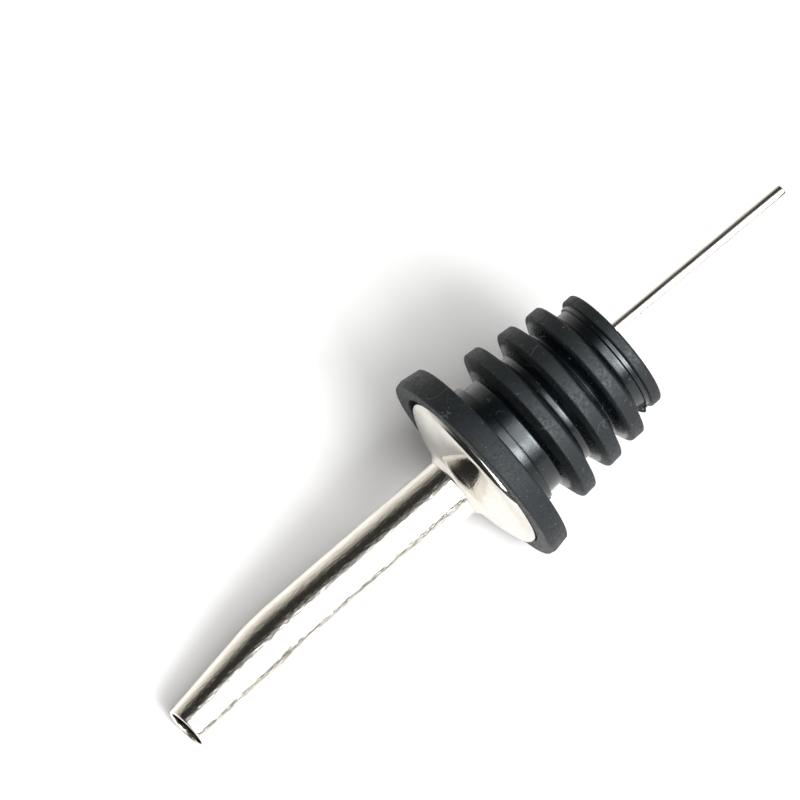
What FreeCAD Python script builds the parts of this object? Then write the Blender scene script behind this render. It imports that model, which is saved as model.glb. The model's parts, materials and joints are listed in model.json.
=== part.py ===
import FreeCAD, Part
import math
import os

# Pour spout for a spirits bottle.
# Everything is drawn upright, as it stands in a bottle: +Z up along the stopper's axis, the spout
# on top, and Z = 0 on the underside of the flange, which rests on the bottle's lip. The spout bends
# towards +X. One placement at the end lays the whole object down on a level surface, where it rests
# on its flange rim and on the spout's tip. All sizes are in millimetres and degrees.

# ---- stopper -------------------------------------------------------------------------------
FLANGE_RADIUS = 13.95
FLANGE_REAR_RADIUS = 13.55
FLANGE_THICKNESS = 3.3
FLANGE_EDGE = 0.3
FLANGE_BEVEL = 0.6
RECESS_DEPTH = 0.65
RECESS_GAP = 0.35
STEP_RADIUS = 8.75
STEP_LENGTH = 1.9
CORE_TOP_RADIUS = 8.1
CORE_END_RADIUS = 7.4
STOPPER_LENGTH = 20.0
# each fin: rim radius, the distance from the seat to the upper and lower edge of its rim, and how
# much smaller the rim's lower edge is; the last fin, which grips the bottle's neck, has none of that
FINS = ((11.25, 5.1, 6.9, 0.15), (10.5, 9.9, 11.7, 0.15), (9.95, 14.0, 15.7, 0.0))
FIN_ROOT_ABOVE = 1.1
FIN_ROOT_BELOW = 0.9
FIN_EDGE = 0.3
END_DISC_RADIUS = 8.35
END_DISC_TOP = 18.5
END_DISC_EDGE = 0.3
END_STEP_RADIUS = 7.8
END_STEP_LENGTH = 0.6
BORE_CLEARANCE = 0.03
BORE_CHAMFER = 0.4

# ---- spout tube ----------------------------------------------------------------------------
TUBE_RADIUS = 4.0
TUBE_WALL = 0.6
MOUTH_WALL = 0.45
TUBE_INNER_END = -19.2
KNEE_HEIGHT = 30.5
KNEE_BEND_RADIUS = 32.0
KNEE_ANGLE = 10.5
TAPER_LENGTH = 13.6
MOUTH_RADIUS = 2.9

# ---- collar --------------------------------------------------------------------------------
COLLAR_RADIUS = 11.05
SHEET_THICKNESS = 0.45
COLLAR_SKIRT = 0.3
COLLAR_EDGE_ROLL = 1.13
COLLAR_EDGE_SLOPE = 25.0
COLLAR_CROWN_RADIUS = 19.3
COLLAR_INNER_SLOPE = 10.0
COLLAR_NECK_RADIUS = 2.5
SOLDER_START_SLOPE = 22.0
SOLDER_DEPTH = 0.7

# ---- vent tube -----------------------------------------------------------------------------
VENT_RADIUS = 0.9
VENT_WALL = 0.25
VENT_AZIMUTH = 140.0
VENT_TAIL_OFFSET = 1.4
VENT_TAIL_Z = -48.7
VENT_TOP_OFFSET = 2.45
VENT_TOP_Z = 5.0
VENT_BEND_RADIUS = 10.0
VENT_EXIT_ANGLE = 24.0
VENT_EXIT_RUN = 4.5
BEAD_RADIUS = 1.5
BEAD_HEIGHT = 0.22

# ---- how it lies ---------------------------------------------------------------------------
REST_ROLL = 46.0
TILT_ROUNDS = 8
# the round stopper is turned this much about its own axis: its shape stays the same, and only the
# facets of the mesh made from it move, so that their corners carry it evenly where it touches down
STOPPER_TURN = 1.2

COLLAR_SEAT_Z = FLANGE_THICKNESS - RECESS_DEPTH
WIDEST_RING_Z = FLANGE_THICKNESS - FLANGE_EDGE - FLANGE_BEVEL
FULL_TURN = 360.0
RIGHT_ANGLE = 90.0


def vector(x, y, z):
    return FreeCAD.Vector(x, y, z)


def on_profile(radius, z):
    """A point of an outline that will be turned about the Z axis."""
    return vector(radius, 0, z)


def turned(edges):
    """The solid made by turning a closed outline of edges about the Z axis."""
    face = Part.Face(Part.Wire(Part.__sortEdges__(edges)))
    return face.revolve(vector(0, 0, 0), vector(0, 0, 1), FULL_TURN)


def outline(points):
    """The straight edges of a closed outline."""
    corners = points + points[:1]
    return [Part.makeLine(a, b) for a, b in zip(corners, corners[1:])]


def on_arc(centre, radius, slope, side):
    """The point of a circle where its outline falls outwards at the given slope.

    side is +1 on a crowned arc, above its centre, and -1 on a hollow one, below its centre."""
    angle = math.radians(slope)
    return on_profile(centre.x + side * radius * math.sin(angle), centre.z + side * radius * math.cos(angle))


def arc_between(centre, radius, first_slope, last_slope, side):
    middle_slope = (first_slope + last_slope) / 2
    points = [on_arc(centre, radius, slope, side) for slope in (first_slope, middle_slope, last_slope)]
    return Part.Arc(*points).toShape()


# ---- stopper ---------------------------------------------------------------------------------
def core_radius(depth):
    """The stopper's core tapers evenly from under the flange to the end disc."""
    share = (depth - STEP_LENGTH) / (STOPPER_LENGTH - STEP_LENGTH)
    return CORE_TOP_RADIUS + share * (CORE_END_RADIUS - CORE_TOP_RADIUS)


def fin_points(rim_radius, upper, lower, draft):
    """Half outline of one fin: sloping upper side, rim with broken edges, sloping lower side."""
    root_top = upper - FIN_ROOT_ABOVE
    root_bottom = lower + FIN_ROOT_BELOW
    return [
        on_profile(core_radius(root_top), -root_top),
        on_profile(rim_radius - FIN_EDGE, -upper),
        on_profile(rim_radius, -upper - FIN_EDGE),
        on_profile(rim_radius - draft, -lower + FIN_EDGE),
        on_profile(rim_radius - draft - FIN_EDGE, -lower),
        on_profile(core_radius(root_bottom), -root_bottom),
    ]


def make_stopper():
    """The flange with its recess and bevelled rim, the core, three fins, the end disc, the bore.

    The bevel has the slope at which the object lies, so it rests flat on the table."""
    bore = TUBE_RADIUS + BORE_CLEARANCE
    recess = COLLAR_RADIUS + RECESS_GAP
    flange_front = FLANGE_RADIUS - FLANGE_BEVEL * math.tan(rest_tilt())
    points = [
        on_profile(bore, COLLAR_SEAT_Z),
        on_profile(recess, COLLAR_SEAT_Z),
        on_profile(recess, FLANGE_THICKNESS),
        on_profile(flange_front - FLANGE_EDGE, FLANGE_THICKNESS),
        on_profile(flange_front, FLANGE_THICKNESS - FLANGE_EDGE),
        on_profile(FLANGE_RADIUS, WIDEST_RING_Z),
        on_profile(FLANGE_REAR_RADIUS, FLANGE_EDGE),
        on_profile(FLANGE_REAR_RADIUS - FLANGE_EDGE, 0),
        on_profile(STEP_RADIUS, 0),
        on_profile(STEP_RADIUS, -STEP_LENGTH),
        on_profile(CORE_TOP_RADIUS, -STEP_LENGTH),
    ]
    for fin in FINS:
        points += fin_points(*fin)
    end_step_top = END_DISC_TOP - END_STEP_LENGTH
    points += [
        on_profile(core_radius(end_step_top), -end_step_top),
        on_profile(END_STEP_RADIUS, -end_step_top),
        on_profile(END_STEP_RADIUS, -END_DISC_TOP),
        on_profile(END_DISC_RADIUS - END_DISC_EDGE, -END_DISC_TOP),
        on_profile(END_DISC_RADIUS, -END_DISC_TOP - END_DISC_EDGE),
        on_profile(END_DISC_RADIUS, -STOPPER_LENGTH + END_DISC_EDGE),
        on_profile(END_DISC_RADIUS - END_DISC_EDGE, -STOPPER_LENGTH),
        on_profile(bore + BORE_CHAMFER, -STOPPER_LENGTH),
        on_profile(bore, -STOPPER_LENGTH + BORE_CHAMFER),
    ]
    return turned(outline(points))


# ---- spout tube ------------------------------------------------------------------------------
def spout_direction():
    """The way the tapered end points."""
    angle = math.radians(KNEE_ANGLE)
    return vector(math.sin(angle), 0, math.cos(angle))


def knee_centre():
    """The centre of the arc that the knee follows."""
    return vector(KNEE_BEND_RADIUS, 0, KNEE_HEIGHT)


def cone_start():
    """The point of the spout's centre line where the knee ends and the taper starts."""
    angle = math.radians(KNEE_ANGLE)
    return knee_centre() + vector(-math.cos(angle), 0, math.sin(angle)) * KNEE_BEND_RADIUS


def mouth_centre():
    return cone_start() + spout_direction() * TAPER_LENGTH


def bent_rod(radius, mouth_radius):
    """Straight rod, an arc of constant section at the knee, then a cone to the mouth."""
    bottom = vector(0, 0, TUBE_INNER_END)
    straight = Part.makeCylinder(radius, KNEE_HEIGHT - TUBE_INNER_END, bottom)
    section = Part.Face(Part.Wire(Part.makeCircle(radius, vector(0, 0, KNEE_HEIGHT), vector(0, 0, 1))))
    knee = section.revolve(knee_centre(), vector(0, 1, 0), KNEE_ANGLE)
    cone = Part.makeCone(radius, mouth_radius, TAPER_LENGTH, cone_start(), spout_direction())
    return straight.fuse([knee, cone]).removeSplitter()


def make_spout_tube():
    """The spout's wall, with the slanting hole that the vent tube leaves by."""
    outside = bent_rod(TUBE_RADIUS, MOUTH_RADIUS)
    bore = bent_rod(TUBE_RADIUS - TUBE_WALL, MOUTH_RADIUS - MOUTH_WALL)
    return outside.cut(bore).cut(vent_rod(VENT_RADIUS))


# ---- collar ----------------------------------------------------------------------------------
def collar_centres():
    """The centres of the collar's rolled edge, of its crown and of its hollow neck."""
    edge_centre = on_profile(COLLAR_RADIUS - COLLAR_EDGE_ROLL, COLLAR_SEAT_Z + COLLAR_SKIRT)
    crown_centre = on_arc(edge_centre, COLLAR_EDGE_ROLL - COLLAR_CROWN_RADIUS, COLLAR_EDGE_SLOPE, 1)
    neck_centre = on_arc(crown_centre, COLLAR_CROWN_RADIUS + COLLAR_NECK_RADIUS, COLLAR_INNER_SLOPE, 1)
    return edge_centre, crown_centre, neck_centre


def neck_end_slope(neck_centre, radius):
    """The slope at which an arc about the neck's centre meets the tube."""
    return math.degrees(math.asin((neck_centre.x - TUBE_RADIUS) / radius))


def make_collar():
    """A crowned disc of sheet: its neck meets the tube, and its rolled edge stands in the recess."""
    edge_centre, crown_centre, neck_centre = collar_centres()
    edges = []
    tube_side = []
    seat_side = []
    for depth in (0, SHEET_THICKNESS):
        edge_radius = COLLAR_EDGE_ROLL - depth
        crown_radius = COLLAR_CROWN_RADIUS - depth
        neck_radius = COLLAR_NECK_RADIUS + depth
        end_slope = neck_end_slope(neck_centre, neck_radius)
        skirt_top = on_arc(edge_centre, edge_radius, RIGHT_ANGLE, 1)
        seat_side.append(skirt_top - on_profile(0, COLLAR_SKIRT))
        tube_side.append(on_arc(neck_centre, neck_radius, end_slope, -1))
        edges.append(Part.makeLine(seat_side[-1], skirt_top))
        edges.append(arc_between(edge_centre, edge_radius, RIGHT_ANGLE, COLLAR_EDGE_SLOPE, 1))
        edges.append(arc_between(crown_centre, crown_radius, COLLAR_EDGE_SLOPE, COLLAR_INNER_SLOPE, 1))
        edges.append(arc_between(neck_centre, neck_radius, COLLAR_INNER_SLOPE, end_slope, -1))
    edges.append(Part.makeLine(*seat_side))
    edges.append(Part.makeLine(*tube_side))
    return turned(edges)


def make_collar_solder():
    """The wedge between the tube and the hollow underside of the collar's neck."""
    neck_centre = collar_centres()[2]
    radius = COLLAR_NECK_RADIUS + SHEET_THICKNESS
    end_slope = neck_end_slope(neck_centre, radius)
    outer_point = on_arc(neck_centre, radius, SOLDER_START_SLOPE, -1)
    top = on_arc(neck_centre, radius, end_slope, -1)
    bottom = on_profile(TUBE_RADIUS, outer_point.z - SOLDER_DEPTH)
    edges = [
        arc_between(neck_centre, radius, SOLDER_START_SLOPE, end_slope, -1),
        Part.makeLine(top, bottom),
        Part.makeLine(bottom, outer_point),
    ]
    return turned(edges)


# ---- vent tube -------------------------------------------------------------------------------
def vent_point(offset, z):
    """A point of the plane through the stopper's axis that the vent tube lies in."""
    azimuth = math.radians(VENT_AZIMUTH)
    return vector(offset * math.cos(azimuth), offset * math.sin(azimuth), z)


def vent_lean():
    return math.atan2(VENT_TOP_OFFSET - VENT_TAIL_OFFSET, VENT_TOP_Z - VENT_TAIL_Z)


def vent_on_bend(angle):
    """The point of the vent tube's bend where it leans out by the given angle, in radians."""
    lean = vent_lean()
    offset = VENT_TOP_OFFSET + VENT_BEND_RADIUS * (math.cos(lean) - math.cos(angle))
    height = VENT_TOP_Z + VENT_BEND_RADIUS * (math.sin(angle) - math.sin(lean))
    return vent_point(offset, height)


def vent_rod(radius):
    """Straight tail, a bend outwards, and a short straight run out through the spout's wall."""
    lean = vent_lean()
    exit_angle = math.radians(VENT_EXIT_ANGLE)
    tail = vent_point(VENT_TAIL_OFFSET, VENT_TAIL_Z)
    top = vent_point(VENT_TOP_OFFSET, VENT_TOP_Z)
    bend_end = vent_on_bend(exit_angle)
    outwards = vent_point(math.sin(exit_angle), math.cos(exit_angle))
    across = vent_point(1, 0).cross(vector(0, 0, 1))
    centre = vent_point(VENT_TOP_OFFSET + VENT_BEND_RADIUS * math.cos(lean), VENT_TOP_Z)
    centre.z = VENT_TOP_Z - VENT_BEND_RADIUS * math.sin(lean)
    straight = Part.makeCylinder(radius, (top - tail).Length, tail, top - tail)
    section = Part.Face(Part.Wire(Part.makeCircle(radius, top, top - tail)))
    turn = math.degrees(exit_angle - lean)
    bend = section.revolve(centre, across, -turn)
    exit_run = Part.makeCylinder(radius, VENT_EXIT_RUN, bend_end, outwards)
    return straight.fuse([bend, exit_run]).removeSplitter()


def spout_cylinder(radius):
    """A long cylinder on the stopper's axis, to trim the vent tube's end to the spout's wall."""
    return Part.makeCylinder(radius, KNEE_HEIGHT - VENT_TAIL_Z, vector(0, 0, VENT_TAIL_Z))


def make_vent_tube():
    whole = vent_rod(VENT_RADIUS).cut(vent_rod(VENT_RADIUS - VENT_WALL))
    return whole.common(spout_cylinder(TUBE_RADIUS))


def make_vent_solder():
    """A thin pad of solder round the vent tube's end, on the outside of the spout."""
    exit_angle = math.radians(VENT_EXIT_ANGLE)
    outwards = vent_point(math.sin(exit_angle), math.cos(exit_angle))
    disc = Part.makeCylinder(BEAD_RADIUS, VENT_EXIT_RUN, vent_on_bend(exit_angle), outwards)
    skin = spout_cylinder(TUBE_RADIUS + BEAD_HEIGHT).cut(spout_cylinder(TUBE_RADIUS))
    return disc.common(skin).cut(vent_rod(VENT_RADIUS))


# ---- laying it down --------------------------------------------------------------------------
def lowest_of_mouth(down):
    """The point of the mouth's rim that is furthest along the direction down."""
    way = spout_direction()
    along_rim_plane = down - way * down.dot(way)
    return mouth_centre() + along_rim_plane.normalize() * MOUTH_RADIUS


def rest_tilt():
    """How far the stopper's axis leans from level, in radians, spout end down.

    Which point of the mouth touches the table depends on the tilt, so it is found in rounds."""
    roll = math.radians(REST_ROLL)
    underside = vector(-math.cos(roll), -math.sin(roll), 0)
    tilt = 0.0
    for _ in range(TILT_ROUNDS):
        down = underside * math.cos(tilt) + vector(0, 0, math.sin(tilt))
        tip = lowest_of_mouth(down)
        tilt = math.atan2(FLANGE_RADIUS - tip.dot(underside), tip.z - WIDEST_RING_Z)
    return tilt


def rest_rotation():
    """The turn that lays the upright object on its flange rim and on the rim of its mouth."""
    roll = math.radians(REST_ROLL)
    tilt = rest_tilt()
    spout_way = vector(0, -math.cos(tilt), -math.sin(tilt))
    bend_way = vector(math.sin(roll), -math.sin(tilt) * math.cos(roll), math.cos(tilt) * math.cos(roll))
    return FreeCAD.Rotation(bend_way, spout_way.cross(bend_way), spout_way, "ZXY")


def main():
    pieces = {
        "spout_tube": make_spout_tube(),
        "collar": make_collar(),
        "collar_solder": make_collar_solder(),
        "vent_tube": make_vent_tube(),
        "vent_solder": make_vent_solder(),
        "stopper": make_stopper(),
    }
    lying = FreeCAD.Placement(vector(0, 0, 0), rest_rotation())
    stopper_turn = FreeCAD.Placement(vector(0, 0, 0), FreeCAD.Rotation(vector(0, 0, 1), STOPPER_TURN))
    os.makedirs("parts", exist_ok=True)
    for name, solid in pieces.items():
        solid.Placement = lying.multiply(stopper_turn) if name == "stopper" else lying
        solid.exportStep(os.path.join("parts", name + ".step"))
        print(name, "valid" if solid.isValid() else "BROKEN", solid.BoundBox)


main()
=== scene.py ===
import json
import math

import bmesh
import bpy
from mathutils import Matrix, Vector, noise


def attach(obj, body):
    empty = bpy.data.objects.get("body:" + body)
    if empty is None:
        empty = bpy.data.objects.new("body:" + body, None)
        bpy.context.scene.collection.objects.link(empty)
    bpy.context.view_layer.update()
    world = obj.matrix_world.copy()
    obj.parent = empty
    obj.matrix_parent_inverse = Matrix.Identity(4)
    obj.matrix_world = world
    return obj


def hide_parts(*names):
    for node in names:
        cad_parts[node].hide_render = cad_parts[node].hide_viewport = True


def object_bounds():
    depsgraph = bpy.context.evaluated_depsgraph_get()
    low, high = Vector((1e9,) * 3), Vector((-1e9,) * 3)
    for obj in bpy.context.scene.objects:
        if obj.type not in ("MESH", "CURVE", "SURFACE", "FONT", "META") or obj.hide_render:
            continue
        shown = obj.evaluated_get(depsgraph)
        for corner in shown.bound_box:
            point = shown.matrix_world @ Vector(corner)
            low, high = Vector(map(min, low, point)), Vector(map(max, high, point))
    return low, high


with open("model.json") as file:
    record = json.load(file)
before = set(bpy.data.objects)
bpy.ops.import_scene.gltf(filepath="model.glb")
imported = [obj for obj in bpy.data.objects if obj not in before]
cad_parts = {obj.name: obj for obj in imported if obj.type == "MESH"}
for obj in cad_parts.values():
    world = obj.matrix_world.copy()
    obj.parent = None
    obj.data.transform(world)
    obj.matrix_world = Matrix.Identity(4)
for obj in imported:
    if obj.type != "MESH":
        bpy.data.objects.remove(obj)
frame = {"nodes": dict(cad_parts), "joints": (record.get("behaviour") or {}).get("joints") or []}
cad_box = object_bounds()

# A pour spout for a spirits bottle, lying on a white table. Every piece is drawn upright in
# millimetres, as it stands in a bottle: +Z up along the stopper's axis with the spout on top, and
# Z = 0 on the underside of the flange. LAY_DOWN then carries it to its place in the frame.
MM = 0.001

# ---- sizes of the metal spout ----------------------------------------------------------------
TUBE_RADIUS = 4.0
TUBE_WALL = 0.6
MOUTH_WALL = 0.45
TUBE_INNER_END = -19.2
KNEE_HEIGHT = 30.5
KNEE_BEND_RADIUS = 32.0
KNEE_ANGLE = math.radians(10.5)
TAPER_START = KNEE_HEIGHT + KNEE_BEND_RADIUS * KNEE_ANGLE
TAPER_LENGTH = 13.6
MOUTH_RADIUS = 2.9
COLLAR_RADIUS = 11.03
SHEET_THICKNESS = 0.45
COLLAR_SKIRT = 0.3
COLLAR_EDGE_ROLL = 1.13
COLLAR_EDGE_SLOPE = math.radians(25.0)
COLLAR_CROWN_RADIUS = 19.3
COLLAR_INNER_SLOPE = math.radians(10.0)
COLLAR_NECK_RADIUS = 2.5
# the collar sits a little off the tube's axis, towards this azimuth
COLLAR_SHIFT = 0.25
COLLAR_SHIFT_AZIMUTH = math.radians(-70.5)
VENT_RADIUS = 0.9
VENT_WALL = 0.25
VENT_AZIMUTH = math.radians(140.0)
VENT_TAIL = (1.4, -48.7)
VENT_TOP = (2.45, 5.0)
VENT_BEND_RADIUS = 10.0
VENT_EXIT_ANGLE = math.radians(24.0)
VENT_SIDES = 48
VENT_STRAIGHT_STEPS = 30
VENT_BEND_STEPS = 12
BEAD_RADIUS = 1.5
# 0.9 of the bead's height in the CAD, so that it stays inside it
BEAD_CROWN = 0.198
BEAD_SINK = 0.06
BEAD_STEPS = 8
# steps round the half circle of a tube's rounded end
LIP_STEPS = 8

# ---- sizes of the stopper --------------------------------------------------------------------
FLANGE_RADIUS = 13.91
FLANGE_FRONT_RADIUS = 13.7
FLANGE_REAR_RADIUS = 13.52
FLANGE_THICKNESS = 3.3
WIDEST_RING_Z = 2.4
RECESS_RADIUS = 11.4
RECESS_DEPTH = 0.65
# the flange's front face is not quite square to the axis: it stands highest at this azimuth
SKEW_SLOPE = 0.0386
SKEW_AZIMUTH = math.radians(140.7)
SKEW_AT_SEAT = 0.35
STEP_RADIUS = 8.75
STEP_LENGTH = 1.9
CORE_TOP_RADIUS = 8.1
CORE_END_RADIUS = 7.4
STOPPER_LENGTH = 20.0
# each fin: rim radius, the distance from the seat to the upper and lower edge of its rim, and how
# much smaller the rim's lower edge is
FINS = ((11.25, 5.1, 6.9, 0.15), (10.5, 9.9, 11.7, 0.15), (9.95, 14.0, 15.7, 0.0))
FIN_ROOT_ABOVE = 1.1
FIN_ROOT_BELOW = 0.9
END_DISC_RADIUS = 8.35
END_DISC_TOP = 18.5
END_STEP_RADIUS = 7.8
END_STEP_LENGTH = 0.6
BORE_RADIUS = 4.03
# beyond this radius the rubber is scuffed by handling
RIM_STARTS = 9.0
# moulding faults as (height, azimuth and half width in degrees, lowest z, highest z)
FLASH = (0.9, -64.0, 4.0, -18.3, -16.5)
NICK = (-0.5, -62.0, 9.0, -2.4, 0.2)
# the flash stands on the core near the end disc, and the nick is in the step ring only
FLASH_WITHIN_RADIUS = 8.2
FLASH_BELOW_Z = -16
NICK_RADII = (8.6, 8.9)

# ---- how it lies -----------------------------------------------------------------------------
REST_ROLL = math.radians(46.0)
SPOUT_WAY = -Vector(frame["joints"][0]["axis"]).normalized()


def lying_rotation():
    """The turn from upright to lying: the spout lies along the joint and rolls about it."""
    level = Vector((0, 0, 1)).cross(SPOUT_WAY).normalized()
    above = SPOUT_WAY.cross(level)
    bend_way = above * math.cos(REST_ROLL) + level * math.sin(REST_ROLL)
    return Matrix((bend_way, SPOUT_WAY.cross(bend_way), SPOUT_WAY)).transposed()


LYING = lying_rotation()
LAY_DOWN = LYING.to_4x4() @ Matrix.Scale(MM, 4)


# ---- meshes ----------------------------------------------------------------------------------
def piece_from_rings(name, rings):
    """A closed surface through rings of upright points, joined ring to ring and last to first."""
    count = len(rings[0])
    points = [LAY_DOWN @ Vector(point) for ring in rings for point in ring]
    faces = []
    for i in range(len(rings)):
        here = i * count
        there = (i + 1) % len(rings) * count
        for j in range(count):
            k = (j + 1) % count
            faces.append((here + j, here + k, there + k, there + j))
    mesh = bpy.data.meshes.new(name)
    mesh.from_pydata(points, [], faces)
    shape = bmesh.new()
    shape.from_mesh(mesh)
    bmesh.ops.recalc_face_normals(shape, faces=shape.faces)
    shape.to_mesh(mesh)
    shape.free()
    mesh.shade_smooth()
    mesh.validate()
    piece = bpy.data.objects.new(name, mesh)
    bpy.context.scene.collection.objects.link(piece)
    return piece


def rounded(corners, steps=5):
    """A closed outline of (radius, z) points: each corner (radius, z, fillet) becomes an arc."""
    points = []
    for i, (radius, z, fillet) in enumerate(corners):
        corner = Vector((radius, z))
        before = (Vector(corners[i - 1][:2]) - corner).normalized()
        after = (Vector(corners[(i + 1) % len(corners)][:2]) - corner).normalized()
        half = before.angle(after) / 2
        centre = corner + (before + after).normalized() * fillet / math.sin(half)
        start = corner + before * fillet / math.tan(half) - centre
        end = corner + after * fillet / math.tan(half) - centre
        for step in range(steps + 1):
            way = start.slerp(end, step / steps).normalized()
            points.append(centre + way * fillet)
    return points


def divided(outline, longest):
    """The same closed outline with its long stretches divided evenly."""
    points = []
    for a, b in zip(outline, outline[1:] + outline[:1]):
        pieces = max(1, math.ceil((b - a).length / longest))
        points += [a.lerp(b, i / pieces) for i in range(pieces)]
    return points


def clamped(value):
    return min(max(value, 0.0), 1.0)


def even_azimuths(count):
    return [math.tau * i / count for i in range(count)]


def turned(name, outline, azimuths, relief=None, lift=None):
    """Turns a closed outline of (radius, z) about the Z axis. relief(azimuth, radius, z) moves a
    point outwards and lift(azimuth, radius, z) moves it up, by the length that each returns."""
    rings = []
    for radius, z in outline:
        ring = []
        for azimuth in azimuths:
            out = radius + (relief(azimuth, radius, z) if relief else 0.0)
            up = z + (lift(azimuth, radius, z) if lift else 0.0)
            ring.append((out * math.cos(azimuth), out * math.sin(azimuth), up))
        rings.append(ring)
    return piece_from_rings(name, rings)


def arc(centre, radius, first, last, steps, side=1):
    """Points of an arc by the slope at which the outline falls; side is -1 on a hollow arc."""
    points = []
    for step in range(steps + 1):
        slope = first + (last - first) * step / steps
        points.append(centre + Vector((math.sin(slope), math.cos(slope))) * radius * side)
    return points


# ---- spout tube ------------------------------------------------------------------------------
def spout_station(distance):
    """Centre, direction and outer radius of the spout at a distance above the seat."""
    angle = min(max(distance - KNEE_HEIGHT, 0) / KNEE_BEND_RADIUS, KNEE_ANGLE)
    way = Vector((math.sin(angle), 0, math.cos(angle)))
    bend_centre = Vector((KNEE_BEND_RADIUS, 0, KNEE_HEIGHT))
    beyond = max(distance - TAPER_START, 0)
    if distance <= KNEE_HEIGHT:
        return Vector((0, 0, distance)), way, TUBE_RADIUS
    on_bend = bend_centre + Vector((-math.cos(angle), 0, math.sin(angle))) * KNEE_BEND_RADIUS
    radius = TUBE_RADIUS + (MOUTH_RADIUS - TUBE_RADIUS) * beyond / TAPER_LENGTH
    return on_bend + way * beyond, way, radius


def circle_about(centre, way, across, radius, count):
    """A ring of points about a line, starting on the side that across points to."""
    side = way.cross(across).normalized()
    front = side.cross(way)
    return [
        centre + (front * math.cos(a) + side * math.sin(a)) * radius
        for a in even_azimuths(count)
    ]


def make_spout_shell(count=160, spacing=0.8):
    """The spout's wall: outside from inner end to mouth, a rounded lip, and back by the bore."""
    end = TAPER_START + TAPER_LENGTH
    lip = MOUTH_WALL / 2
    length = end - TUBE_INNER_END - 2 * lip
    stations = [
        TUBE_INNER_END + lip + length * i / round(length / spacing)
        for i in range(round(length / spacing) + 1)
    ]
    profile = [(distance, 0.0) for distance in stations]
    profile += [
        (stations[-1] + lip * math.sin(a), lip * (1 - math.cos(a))) for a in half_turn(LIP_STEPS)
    ]
    profile += [(distance, wall_thickness(distance)) for distance in reversed(stations)]
    profile += [
        (stations[0] - lip * math.sin(a), lip * (1 + math.cos(a))) for a in half_turn(LIP_STEPS)
    ]
    rings = []
    for distance, depth in profile:
        centre, way, radius = spout_station(distance)
        ring = circle_about(centre, way, Vector((1, 0, 0)), radius - depth, count)
        rings.append([point + (point - centre).normalized() * wobble(point) for point in ring])
    return piece_from_rings("spout_shell", rings)


def wall_thickness(distance):
    """The spout's wall thins evenly along the taper."""
    share = clamped((distance - TAPER_START) / TAPER_LENGTH)
    return TUBE_WALL + share * (MOUTH_WALL - TUBE_WALL)


def half_turn(steps):
    """The angles inside a half turn, without its two ends."""
    return [math.pi * i / steps for i in range(1, steps)]


def wobble(point):
    """The slight unevenness of drawn and plated tube."""
    long_wave = noise.noise(Vector((point.x * 0.22, point.y * 0.22, point.z * 0.07)))
    elsewhere = Vector((7, 3, 5))
    short_wave = noise.noise(Vector((point.x * 0.6, point.y * 0.6, point.z * 0.3)) + elsewhere)
    return -0.012 + 0.010 * long_wave + 0.0015 * short_wave


# ---- collar ----------------------------------------------------------------------------------
def make_collar_dome():
    """A crowned disc of polished sheet: a rolled edge, a shallow crown and a hollow neck."""
    skirt_z = FLANGE_THICKNESS - RECESS_DEPTH
    edge_centre = Vector((COLLAR_RADIUS - COLLAR_EDGE_ROLL, skirt_z + COLLAR_SKIRT))
    edge_way = Vector((math.sin(COLLAR_EDGE_SLOPE), math.cos(COLLAR_EDGE_SLOPE)))
    crown_centre = edge_centre + edge_way * (COLLAR_EDGE_ROLL - COLLAR_CROWN_RADIUS)
    inner_way = Vector((math.sin(COLLAR_INNER_SLOPE), math.cos(COLLAR_INNER_SLOPE)))
    neck_centre = crown_centre + inner_way * (COLLAR_CROWN_RADIUS + COLLAR_NECK_RADIUS)
    sides = []
    for depth in (0.0, SHEET_THICKNESS):
        edge = COLLAR_EDGE_ROLL - depth
        crown = COLLAR_CROWN_RADIUS - depth
        neck = COLLAR_NECK_RADIUS + depth
        end_slope = math.asin((neck_centre.x - TUBE_RADIUS) / neck)
        side = arc(edge_centre, edge, math.pi / 2, COLLAR_EDGE_SLOPE, 12)
        side += arc(crown_centre, crown, COLLAR_EDGE_SLOPE, COLLAR_INNER_SLOPE, 16)[1:]
        side += arc(neck_centre, neck, COLLAR_INNER_SLOPE, end_slope, 16, -1)[1:]
        sides.append([Vector((side[0].x, skirt_z + 0.05))] + side)
    lip_middle = (sides[0][0] + sides[1][0]) / 2 - Vector((0, 0.05))
    outline = sides[0] + sides[1][::-1] + [lip_middle]
    return turned("collar_dome", outline, even_azimuths(192), collar_unevenness)


def collar_unevenness(azimuth, radius, z):
    """The collar's shift off the axis, growing outwards, with the slight waves of pressed sheet."""
    around = Vector((math.cos(azimuth), math.sin(azimuth), radius * 0.15))
    share = (radius - TUBE_RADIUS) / (COLLAR_RADIUS - TUBE_RADIUS)
    shift = COLLAR_SHIFT * share * math.cos(azimuth - COLLAR_SHIFT_AZIMUTH)
    return shift + 0.012 * noise.noise(around * 1.3) - 0.006


# ---- vent tube -------------------------------------------------------------------------------
def vent_point(offset, z):
    """A point of the plane through the stopper's axis that the vent tube lies in."""
    return Vector((offset * math.cos(VENT_AZIMUTH), offset * math.sin(VENT_AZIMUTH), z))


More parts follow.
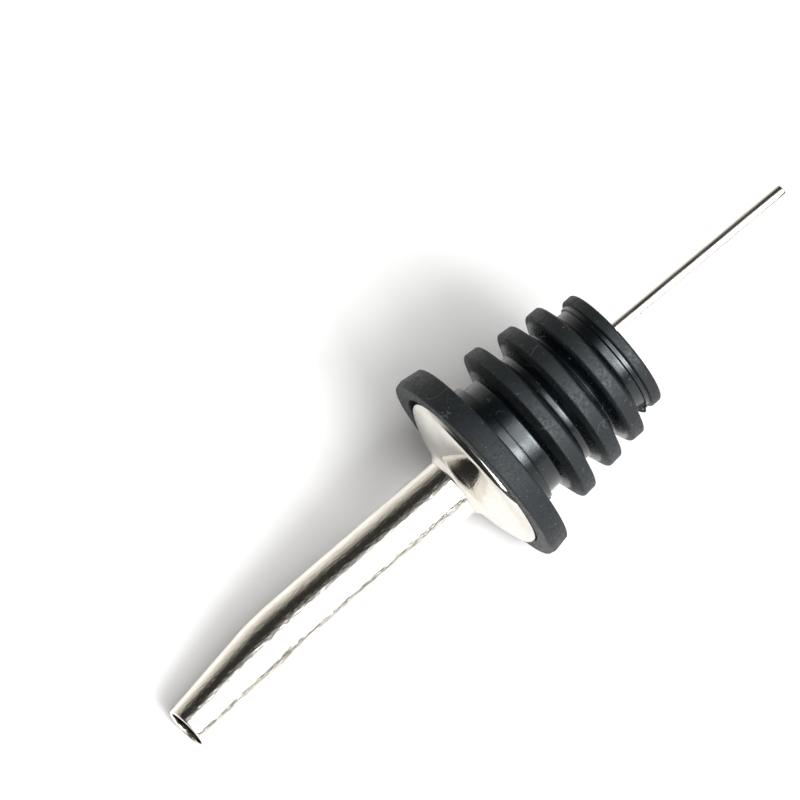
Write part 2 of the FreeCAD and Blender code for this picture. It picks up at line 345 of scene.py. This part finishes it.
def vent_stations():
    """Centres and directions along the vent tube: straight tail, bend, and the run to the hole."""
    lean = math.atan2(VENT_TOP[0] - VENT_TAIL[0], VENT_TOP[1] - VENT_TAIL[1])
    tail = vent_point(*VENT_TAIL)
    top = vent_point(*VENT_TOP)
    straight_way = vent_point(math.sin(lean), math.cos(lean))
    stations = [
        (tail.lerp(top, i / VENT_STRAIGHT_STEPS), straight_way)
        for i in range(VENT_STRAIGHT_STEPS)
    ]
    for i in range(VENT_BEND_STEPS + 1):
        angle = lean + (VENT_EXIT_ANGLE - lean) * i / VENT_BEND_STEPS
        offset = VENT_TOP[0] + VENT_BEND_RADIUS * (math.cos(lean) - math.cos(angle))
        height = VENT_TOP[1] + VENT_BEND_RADIUS * (math.sin(angle) - math.sin(lean))
        stations.append((vent_point(offset, height), vent_point(math.sin(angle), math.cos(angle))))
    return stations


def slid_to_wall(point, way, radius):
    """The point where a line along way leaves an upright cylinder of that radius."""
    a = way.x ** 2 + way.y ** 2
    b = point.x * way.x + point.y * way.y
    c = point.x ** 2 + point.y ** 2 - radius ** 2
    return point + way * ((-b + math.sqrt(b * b - a * c)) / a)


def make_vent_pipe(count=VENT_SIDES):
    """A thin tube, open at both ends: its tail is cut square, its top is flush with the spout."""
    stations = vent_stations()
    across = vent_point(0, 1).cross(vent_point(1, 0))
    lip = VENT_WALL / 2
    outer = [circle_about(c, w, across, VENT_RADIUS, count) for c, w in stations]
    inner = [circle_about(c, w, across, VENT_RADIUS - VENT_WALL, count) for c, w in stations]
    exit_way = stations[-1][1]
    outer.append([slid_to_wall(p, exit_way, TUBE_RADIUS) for p in outer[-1]])
    inner.append([slid_to_wall(p, exit_way, TUBE_RADIUS) for p in inner[-1]])
    tail, tail_way = stations[0]
    outer[0] = [point + tail_way * lip for point in outer[0]]
    inner[0] = [point + tail_way * lip for point in inner[0]]
    ends = [
        circle_about(
            tail + tail_way * lip * (1 - math.sin(a)), tail_way, across,
            VENT_RADIUS - lip * (1 + math.cos(a)), count)
        for a in half_turn(LIP_STEPS)
    ]
    return piece_from_rings("vent_pipe", outer + inner[::-1] + ends)


def cut_vent_hole(shell):
    """Cuts the slanting hole that the vent tube leaves by out of the spout's wall."""
    centre, way = vent_stations()[-1]
    across = vent_point(0, 1).cross(vent_point(1, 0))
    reach = VENT_RADIUS * 4
    start = centre - way * reach
    end = centre + way * reach
    rims = [circle_about(middle, way, across, VENT_RADIUS, VENT_SIDES) for middle in (start, end)]
    caps = [[middle] * VENT_SIDES for middle in (start, end)]
    cutter = piece_from_rings("vent_hole", [caps[0], rims[0], rims[1], caps[1]])
    cutter.data.validate()
    hole = shell.modifiers.new("vent_hole", "BOOLEAN")
    hole.operation = "DIFFERENCE"
    hole.solver = "EXACT"
    hole.object = cutter
    graph = bpy.context.evaluated_depsgraph_get()
    whole = shell.data
    shell.data = bpy.data.meshes.new_from_object(shell.evaluated_get(graph))
    shell.modifiers.remove(hole)
    bpy.data.meshes.remove(whole)
    bpy.data.meshes.remove(cutter.data)
    return shell


def make_vent_bead(count=72):
    """The fillet of solder round the vent tube's end, on the outside of the spout."""
    centre, way = vent_stations()[-1]
    across = vent_point(0, 1).cross(vent_point(1, 0))
    width = BEAD_RADIUS - VENT_RADIUS
    rings = []
    shares = [i / BEAD_STEPS for i in range(BEAD_STEPS + 1)]
    crown = [(share, BEAD_CROWN * math.sqrt(1 - share * share)) for share in shares]
    for share, height in [(0.0, -BEAD_SINK)] + crown + [(1.0, -BEAD_SINK)]:
        ring = circle_about(centre, way, across, VENT_RADIUS + share * width, count)
        rings.append([slid_to_wall(point, way, TUBE_RADIUS + height) for point in ring])
    return piece_from_rings("vent_bead", rings)


# ---- stopper ---------------------------------------------------------------------------------
def core_radius(depth):
    """The stopper's core tapers evenly from under the flange to the end disc."""
    share = (depth - STEP_LENGTH) / (STOPPER_LENGTH - STEP_LENGTH)
    return CORE_TOP_RADIUS + share * (CORE_END_RADIUS - CORE_TOP_RADIUS)


def stopper_corners():
    """The corners of the stopper's half section, each with the radius that rounds it."""
    seat = FLANGE_THICKNESS - RECESS_DEPTH
    corners = [
        (BORE_RADIUS, seat, 0.05),
        (RECESS_RADIUS, seat, 0.05),
        (RECESS_RADIUS, FLANGE_THICKNESS, 0.1),
        (FLANGE_FRONT_RADIUS, FLANGE_THICKNESS, 0.28),
        (FLANGE_RADIUS, WIDEST_RING_Z, 0.06),
        (FLANGE_REAR_RADIUS, 0, 0.3),
        (STEP_RADIUS, 0, 0.12),
        (STEP_RADIUS, -STEP_LENGTH, 0.14),
        (core_radius(STEP_LENGTH), -STEP_LENGTH, 0.08),
    ]
    for rim, upper, lower, draft in FINS:
        root_top = upper - FIN_ROOT_ABOVE
        root_bottom = lower + FIN_ROOT_BELOW
        corners += [
            (core_radius(root_top), -root_top, 0.35),
            (rim, -upper, 0.3),
            (rim - draft, -lower, 0.25),
            (core_radius(root_bottom), -root_bottom, 0.35),
        ]
    end_step_top = END_DISC_TOP - END_STEP_LENGTH
    corners += [
        (core_radius(end_step_top), -end_step_top, 0.1),
        (END_STEP_RADIUS, -end_step_top, 0.12),
        (END_STEP_RADIUS, -END_DISC_TOP, 0.06),
        (END_DISC_RADIUS, -END_DISC_TOP, 0.3),
        (END_DISC_RADIUS, -STOPPER_LENGTH, 0.3),
        (BORE_RADIUS, -STOPPER_LENGTH, 0.4),
    ]
    return corners


def flange_skew(azimuth, radius, z):
    """How far the moulded flange leans out of square, most at its front face."""
    if z < 0:
        return 0.0
    outwards = clamped((radius - STEP_RADIUS) / (FLANGE_REAR_RADIUS - STEP_RADIUS))
    share = SKEW_AT_SEAT * outwards + (1 - SKEW_AT_SEAT) * clamped(z / FLANGE_THICKNESS)
    if radius < RECESS_RADIUS + 0.15 and z > 1:
        share *= clamped((z - FLANGE_THICKNESS + RECESS_DEPTH) / RECESS_DEPTH)
    return SKEW_SLOPE * radius * math.cos(azimuth - SKEW_AZIMUTH) * share


def patch(azimuth, z, height, middle, half_width, z_low, z_high):
    """height in the middle of a patch of a turned surface, falling smoothly to 0 at its edges."""
    turn = math.remainder(azimuth - math.radians(middle), math.tau)
    across = clamped(1 - abs(turn) / math.radians(half_width))
    along = clamped(1 - abs(2 * z - z_low - z_high) / (z_high - z_low))
    return height * across * across * (3 - 2 * across) * along * along * (3 - 2 * along)


def stopper_relief(azimuth, radius, z):
    """Moulding faults: soft waves, a scrap of flash above the end disc, a nick in the step ring."""
    around = Vector((math.cos(azimuth), math.sin(azimuth), z * 0.12))
    waves = 0.025 * noise.noise(around * 2.1) - 0.012
    flash = nick = 0.0
    if radius < FLASH_WITHIN_RADIUS and z < FLASH_BELOW_Z:
        flash = patch(azimuth, z, *FLASH)
    if NICK_RADII[0] < radius < NICK_RADII[1]:
        nick = patch(azimuth, z, *NICK)
    return waves + flash + nick


def make_stopper_body():
    outline = divided(rounded(stopper_corners()), 0.3)
    return turned("stopper_body", outline, even_azimuths(360), stopper_relief, flange_skew)


# ---- materials -------------------------------------------------------------------------------
NICKEL_CLEAN = (0.84, 0.81, 0.75)
NICKEL_WORN = (0.78, 0.745, 0.67)
POLISHED_CLEAN = (0.63, 0.612, 0.57)
POLISHED_WORN = (0.56, 0.54, 0.49)
STEEL_CLEAN = (0.84, 0.82, 0.77)
STEEL_WORN = (0.76, 0.74, 0.69)
PIT_COLOUR = (0.30, 0.28, 0.25)
SOLDER_BRIGHT = (0.62, 0.61, 0.58)
SOLDER_OXIDISED = (0.36, 0.35, 0.33)
RUBBER_BLACK = (0.0018, 0.0030, 0.0038)
RUBBER_BLOOM = (0.0040, 0.0056, 0.0068)
RUBBER_SCRATCH = (0.06, 0.064, 0.066)
DUST_COLOUR = (0.16, 0.165, 0.165)
RUBBER_IOR = 1.47
# bump depths in millimetres
GRAIN_DEPTH = 0.009
SOFT_WAVE_DEPTH = 0.015
SCUFF_DEPTH = 0.02
SOLDER_LUMP_DEPTH = 0.05
RUBBER_SPECULAR_TINT = (0.90, 0.97, 1.0, 1.0)


class Shader:
    """A node material whose textures are laid out in upright millimetres."""

    def __init__(self, name):
        self.material = bpy.data.materials.new(name)
        self.material.use_nodes = True
        self.nodes = self.material.node_tree.nodes
        self.links = self.material.node_tree.links
        self.surface = self.nodes["Principled BSDF"]
        self.place = self.node("ShaderNodeMapping")
        self.place.inputs["Rotation"].default_value = LYING.transposed().to_euler()
        self.place.inputs["Scale"].default_value = [1 / MM] * 3
        coordinates = self.node("ShaderNodeTexCoord")
        self.links.new(coordinates.outputs["Object"], self.place.inputs["Vector"])

    def node(self, kind, **inputs):
        made = self.nodes.new(kind)
        for name, value in inputs.items():
            made.inputs[name.replace("_", " ")].default_value = value
        return made

    def stretched(self, x, y, z):
        """Upright coordinates, squeezed or stretched along each axis."""
        made = self.node("ShaderNodeMapping", Scale=(x, y, z))
        self.links.new(self.place.outputs["Vector"], made.inputs["Vector"])
        return made.outputs["Vector"]

    def noise(self, scale, detail=2.0, roughness=0.5, vector=None):
        made = self.node("ShaderNodeTexNoise", Scale=scale, Detail=detail, Roughness=roughness)
        self.links.new(vector or self.place.outputs["Vector"], made.inputs["Vector"])
        return made.outputs["Fac"]

    def ramp(self, value, low, high, first, last):
        """first where value is at or under low, last where it is at or over high."""
        made = self.node(
            "ShaderNodeMapRange", From_Min=low, From_Max=high, To_Min=first, To_Max=last)
        made.interpolation_type = "SMOOTHSTEP"
        self.links.new(value, made.inputs["Value"])
        return made.outputs["Result"]

    def specks(self, scale, size, share):
        """1 on small round specks, which only a share of the cells hold."""
        cells = self.node("ShaderNodeTexVoronoi", Scale=scale)
        self.links.new(self.place.outputs["Vector"], cells.inputs["Vector"])
        dot = self.ramp(cells.outputs["Distance"], size * 0.6, size, 1.0, 0.0)
        split = self.node("ShaderNodeSeparateColor")
        self.links.new(cells.outputs["Color"], split.inputs["Color"])
        chosen = self.ramp(split.outputs["Red"], share, share + 0.01, 1.0, 0.0)
        return self.times(dot, chosen)

    def scratches(self, scale, width, stretch):
        """1 on a few thin wandering lines, 0 elsewhere."""
        path = self.noise(scale, detail=1.0, vector=self.stretched(*stretch))
        rising = self.ramp(path, 0.5 - width, 0.5, 0.0, 1.0)
        falling = self.ramp(path, 0.5, 0.5 + width, 1.0, 0.0)
        line = self.times(rising, falling)
        breaks = self.ramp(self.noise(scale * 0.8, detail=2.0), 0.56, 0.62, 0.0, 1.0)
        return self.times(line, breaks)

    def rim_share(self):
        """0 on the stopper's core, 1 on what stands out from it: flange, fins and end disc."""
        flat = self.stretched(1.0, 1.0, 0.0)
        length = self.node("ShaderNodeVectorMath")
        length.operation = "LENGTH"
        self.links.new(flat, length.inputs[0])
        split = self.node("ShaderNodeSeparateXYZ")
        self.links.new(self.place.outputs["Vector"], split.inputs["Vector"])
        outside = self.ramp(length.outputs["Value"], RIM_STARTS, RIM_STARTS + 0.5, 0.0, 1.0)
        end = self.ramp(split.outputs["Z"], -END_DISC_TOP - 0.1, -END_DISC_TOP + 0.1, 1.0, 0.0)
        return self.larger(outside, end)

    def maths(self, operation, a, b):
        made = self.node("ShaderNodeMath")
        made.operation = operation
        for socket, value in zip(made.inputs, (a, b)):
            if isinstance(value, float):
                socket.default_value = value
            else:
                self.links.new(value, socket)
        return made.outputs["Value"]

    def larger(self, a, b):
        return self.maths("MAXIMUM", a, b)

    def times(self, a, b):
        return self.maths("MULTIPLY", a, b)

    def plus(self, a, b):
        return self.maths("ADD", a, b)

    def mix(self, share, first, last):
        """A colour between two, each given as a colour or as a socket."""
        made = self.node("ShaderNodeMix")
        made.data_type = "RGBA"
        self.links.new(share, made.inputs["Factor"])
        for socket, value in zip((made.inputs[6], made.inputs[7]), (first, last)):
            if isinstance(value, tuple):
                socket.default_value = (*value, 1.0)
            else:
                self.links.new(value, socket)
        return made.outputs[2]

    def bump(self, *layers):
        """Each layer is (height, depth in millimetres)."""
        normal = None
        for height, depth in layers:
            made = self.node("ShaderNodeBump", Strength=1.0, Distance=depth * MM)
            self.links.new(height, made.inputs["Height"])
            if normal:
                self.links.new(normal, made.inputs["Normal"])
            normal = made.outputs["Normal"]
        self.links.new(normal, self.surface.inputs["Normal"])

    def colour(self, socket):
        self.links.new(socket, self.surface.inputs["Base Color"])

    def roughness(self, socket):
        self.links.new(socket, self.surface.inputs["Roughness"])


def plated_metal(name, clean, worn, smooth, rough, grain_depth, grain_scale):
    """Bright metal with fine pitting, faint draw lines and duller handled patches. smooth and
    rough are its roughness on clean and on handled metal."""
    shader = Shader(name)
    patches = shader.noise(0.35, detail=3.0)
    grain = shader.noise(grain_scale, detail=3.0, roughness=0.6)
    drawn = shader.noise(3.0, detail=2.0, vector=shader.stretched(1.0, 1.0, 0.05))
    ripple = shader.noise(3.0, detail=2.0, vector=shader.stretched(1.0, 1.0, 0.4))
    wear = shader.ramp(patches, 0.42, 0.68, 0.0, 1.0)
    pits = shader.specks(scale=2.2, size=0.16, share=0.12)
    shader.colour(shader.mix(pits, shader.mix(wear, clean, worn), PIT_COLOUR))
    polish = shader.ramp(patches, 0.35, 0.7, smooth, rough)
    shader.roughness(shader.plus(polish, shader.times(pits, 0.2)))
    shader.bump((grain, grain_depth), (drawn, grain_depth * 0.5), (ripple, grain_depth * 1.8))
    shader.surface.inputs["Metallic"].default_value = 1.0
    return shader.material


def moulded_rubber(name):
    """Black moulded rubber: satin core, duller scuffed rims, fine grain, scratches and dust."""
    shader = Shader(name)
    film = shader.noise(0.5, detail=4.0, roughness=0.6)
    grain = shader.noise(8.0, detail=3.0, roughness=0.65)
    soft_waves = shader.noise(1.3, detail=2.0)
    dust = shader.specks(scale=1.5, size=0.12, share=0.16)
    fine_dust = shader.specks(scale=3.2, size=0.16, share=0.10)
    lint = shader.scratches(scale=0.5, width=0.006, stretch=(1.0, 0.3, 0.6))
    scuffs = shader.scratches(scale=0.35, width=0.006, stretch=(0.3, 1.0, 0.5))
    rims = shader.rim_share()
    patchy = shader.times(rims, shader.ramp(film, 0.35, 0.75, 0.35, 1.0))
    worn = shader.mix(patchy, RUBBER_BLACK, RUBBER_BLOOM)
    marked = shader.mix(shader.times(shader.plus(lint, scuffs), 0.6), worn, RUBBER_SCRATCH)
    shader.colour(shader.mix(shader.larger(dust, fine_dust), marked, DUST_COLOUR))
    satin = shader.ramp(film, 0.3, 0.7, 0.24, 0.31)
    mottle = shader.ramp(shader.noise(2.6, detail=4.0, roughness=0.7), 0.35, 0.65, 0.22, 0.42)
    shader.roughness(shader.plus(satin, shader.times(rims, mottle)))
    shader.bump((grain, GRAIN_DEPTH), (soft_waves, SOFT_WAVE_DEPTH), (scuffs, SCUFF_DEPTH))
    shader.surface.inputs["IOR"].default_value = RUBBER_IOR
    shader.surface.inputs["Specular Tint"].default_value = RUBBER_SPECULAR_TINT
    return shader.material


def solder_metal(name):
    """Dull grey solder with a lumpy, slightly oxidised skin."""
    shader = Shader(name)
    lumps = shader.noise(1.8, detail=3.0)
    oxide = shader.ramp(lumps, 0.35, 0.7, 0.0, 1.0)
    shader.colour(shader.mix(oxide, SOLDER_BRIGHT, SOLDER_OXIDISED))
    shader.roughness(shader.ramp(lumps, 0.3, 0.7, 0.28, 0.48))
    shader.bump((lumps, SOLDER_LUMP_DEPTH))
    shader.surface.inputs["Metallic"].default_value = 1.0
    return shader.material


def finish_piece(piece, material, body=None, node=None):
    """Gives a piece its material and slot, and lets it ride in place of its CAD node."""
    piece.data.materials.clear()
    piece.data.materials.append(material)
    if body:
        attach(piece, body)
    if node:
        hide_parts(node)


# ---- studio ----------------------------------------------------------------------------------
CAMERA_TARGET = Vector((-16.31, -1.39, -5.91)) * MM
CAMERA_DISTANCE = 409.2 * MM
CAMERA_AZIMUTH = math.radians(51.48)
CAMERA_ELEVATION = math.radians(55.53)
CAMERA_LENS = 147.6
CAMERA_CLIP = (0.01, 20.0)

TABLE_HALF_WIDTH = 0.75
TABLE_GAP = 0.00002
TABLE_COLOUR = (0.88, 0.88, 0.88, 1.0)
TABLE_ROUGHNESS = 0.75

# radiance of the walls by the height of the direction: pale on the -X side, dim under the softbox
PALE_WALL = (
    (0.0, 1.0), (0.17, 0.84), (0.30, 0.63), (0.42, 0.41), (0.54, 0.28), (0.60, 0.14), (0.66, 0.035),
)
DIM_WALL = ((0.0, 0.5), (0.06, 0.20), (0.13, 0.13), (0.20, 0.15), (0.60, 0.10), (0.70, 0.035))
WALL_TINT = (1.0, 0.965, 0.88)
# the dark room that the camera stands in, on the -Y side
DARK_ROOM = 0.03
DARK_ROOM_EDGES = (-0.85, -0.6)
GLOW_TOWARDS = (0.2, -0.19, 0.96)
GLOW_EDGE = 0.90
GLOW_STRENGTH = 0.6


def make_camera():
    data = bpy.data.cameras.new("camera")
    data.lens = CAMERA_LENS
    camera = bpy.data.objects.new("camera", data)
    bpy.context.scene.collection.objects.link(camera)
    back = Vector((
        math.sin(CAMERA_AZIMUTH) * math.cos(CAMERA_ELEVATION),
        -math.cos(CAMERA_AZIMUTH) * math.cos(CAMERA_ELEVATION),
        math.sin(CAMERA_ELEVATION)))
    camera.location = CAMERA_TARGET + back * CAMERA_DISTANCE
    camera.rotation_euler = (-back).to_track_quat("-Z", "Y").to_euler()
    data.clip_start, data.clip_end = CAMERA_CLIP
    bpy.context.scene.camera = camera


def make_floor():
    """A wide white table top just under the lowest point of the object."""
    size = TABLE_HALF_WIDTH
    level = cad_box[0].z - TABLE_GAP
    corners = [(x * size, y * size, level) for x, y in ((-1, -1), (1, -1), (1, 1), (-1, 1))]
    mesh = bpy.data.meshes.new("table_top")
    mesh.from_pydata(corners, [], [(0, 1, 2, 3)])
    floor = bpy.data.objects.new("table_top", mesh)
    bpy.context.scene.collection.objects.link(floor)
    material = bpy.data.materials.new("white_table")
    material.use_nodes = True
    surface = material.node_tree.nodes["Principled BSDF"]
    surface.inputs["Base Color"].default_value = TABLE_COLOUR
    surface.inputs["Roughness"].default_value = TABLE_ROUGHNESS
    mesh.materials.append(material)


def make_softbox(name, towards, distance, width, height, strength):
    """A rectangular area light that faces the origin. strength is its radiance."""
    data = bpy.data.lights.new(name, "AREA")
    data.shape = "RECTANGLE"
    data.size = width
    data.size_y = height
    data.energy = strength * width * height * math.pi
    lamp = bpy.data.objects.new(name, data)
    bpy.context.scene.collection.objects.link(lamp)
    way = Vector(towards).normalized()
    lamp.location = way * distance
    lamp.rotation_euler = (-way).to_track_quat("-Z", "Y").to_euler()
    lamp.visible_camera = False


def make_world():
    """A dark ceiling over pale walls, a dark side on -Y and a soft glow round the softbox. The
    camera itself sees white."""
    world = bpy.data.worlds.new("studio")
    bpy.context.scene.world = world
    world.use_nodes = True
    nodes = world.node_tree.nodes
    links = world.node_tree.links
    background = nodes["Background"]
    coordinates = nodes.new("ShaderNodeTexCoord")
    split = nodes.new("ShaderNodeSeparateXYZ")
    links.new(coordinates.outputs["Generated"], split.inputs["Vector"])

    def ramp(value, low, high, first, last):
        made = nodes.new("ShaderNodeMapRange")
        made.interpolation_type = "SMOOTHSTEP"
        limits = {"From Min": low, "From Max": high, "To Min": first, "To Max": last}
        for name, number in limits.items():
            made.inputs[name].default_value = number
        links.new(value, made.inputs["Value"])
        return made.outputs["Result"]

    def stepped(value, stops):
        """A colour ramp through (position, grey) stops."""
        made = nodes.new("ShaderNodeValToRGB")
        elements = made.color_ramp.elements
        while len(elements) < len(stops):
            elements.new(0.5)
        for element, (position, grey) in zip(elements, stops):
            element.position = position
            element.color = (grey, grey, grey, 1.0)
        links.new(value, made.inputs["Fac"])
        return made.outputs["Color"]

    def mix(share, first, last, kind="MIX"):
        made = nodes.new("ShaderNodeMix")
        made.data_type = "RGBA"
        made.blend_type = kind
        sockets = (made.inputs["Factor"], made.inputs[6], made.inputs[7])
        for socket, value in zip(sockets, (share, first, last)):
            if isinstance(value, float):
                socket.default_value = value
            elif isinstance(value, tuple):
                socket.default_value = (*value, 1.0)
            else:
                links.new(value, socket)
        return made.outputs[2]

    side = ramp(split.outputs["X"], -0.2, 0.2, 0.0, 1.0)
    pale_wall = stepped(split.outputs["Z"], PALE_WALL)
    dim_wall = stepped(split.outputs["Z"], DIM_WALL)
    walls = mix(side, mix(1.0, pale_wall, WALL_TINT, "MULTIPLY"), dim_wall)
    facing = nodes.new("ShaderNodeVectorMath")
    facing.operation = "DOT_PRODUCT"
    facing.inputs[1].default_value = Vector(GLOW_TOWARDS).normalized()
    links.new(coordinates.outputs["Generated"], facing.inputs[0])
    glow = ramp(facing.outputs["Value"], GLOW_EDGE, 1.0, 0.0, 1.0)
    lit = mix(1.0, walls, mix(glow, (0.0, 0.0, 0.0), (GLOW_STRENGTH,) * 3), "ADD")
    out_of_room = ramp(split.outputs["Y"], *DARK_ROOM_EDGES, 0.0, 1.0)
    studio = mix(out_of_room, (DARK_ROOM,) * 3, lit)
    path = nodes.new("ShaderNodeLightPath")
    seen = mix(path.outputs["Is Camera Ray"], studio, (1.0, 1.0, 1.0))
    links.new(seen, background.inputs["Color"])


# ---- putting it together ---------------------------------------------------------------------
def main():
    nickel = plated_metal(
        "nickel_plate", NICKEL_CLEAN, NICKEL_WORN, smooth=0.07, rough=0.13,
        grain_depth=0.022, grain_scale=5.0)
    polished = plated_metal(
        "polished_plate", POLISHED_CLEAN, POLISHED_WORN, smooth=0.06, rough=0.11,
        grain_depth=0.0025, grain_scale=4.0)
    steel = plated_metal(
        "vent_steel", STEEL_CLEAN, STEEL_WORN, smooth=0.20, rough=0.28,
        grain_depth=0.002, grain_scale=6.0)
    solder = solder_metal("solder")
    rubber = moulded_rubber("black_rubber")
    spout_shell = cut_vent_hole(make_spout_shell())
    finish_piece(spout_shell, nickel, "metal_spout", "spout_tube")
    finish_piece(make_collar_dome(), polished, "metal_spout", "collar")
    finish_piece(make_vent_pipe(), steel, "metal_spout", "vent_tube")
    finish_piece(make_vent_bead(), solder, "metal_spout", "vent_solder")
    finish_piece(make_stopper_body(), rubber, "rubber_stopper", "stopper")
    finish_piece(frame["nodes"]["collar_solder"], solder)
    make_camera()
    make_floor()
    make_world()
    make_softbox(
        "key_softbox", towards=(0.64, -0.12, 0.74), distance=1.6, width=1.10, height=1.84,
        strength=6.0)
    make_softbox(
        "hot_spot", towards=(0.78, -0.12, 0.61), distance=1.55, width=0.50, height=0.50,
        strength=26.0)
    bpy.context.scene.view_settings.view_transform = "Standard"


main()
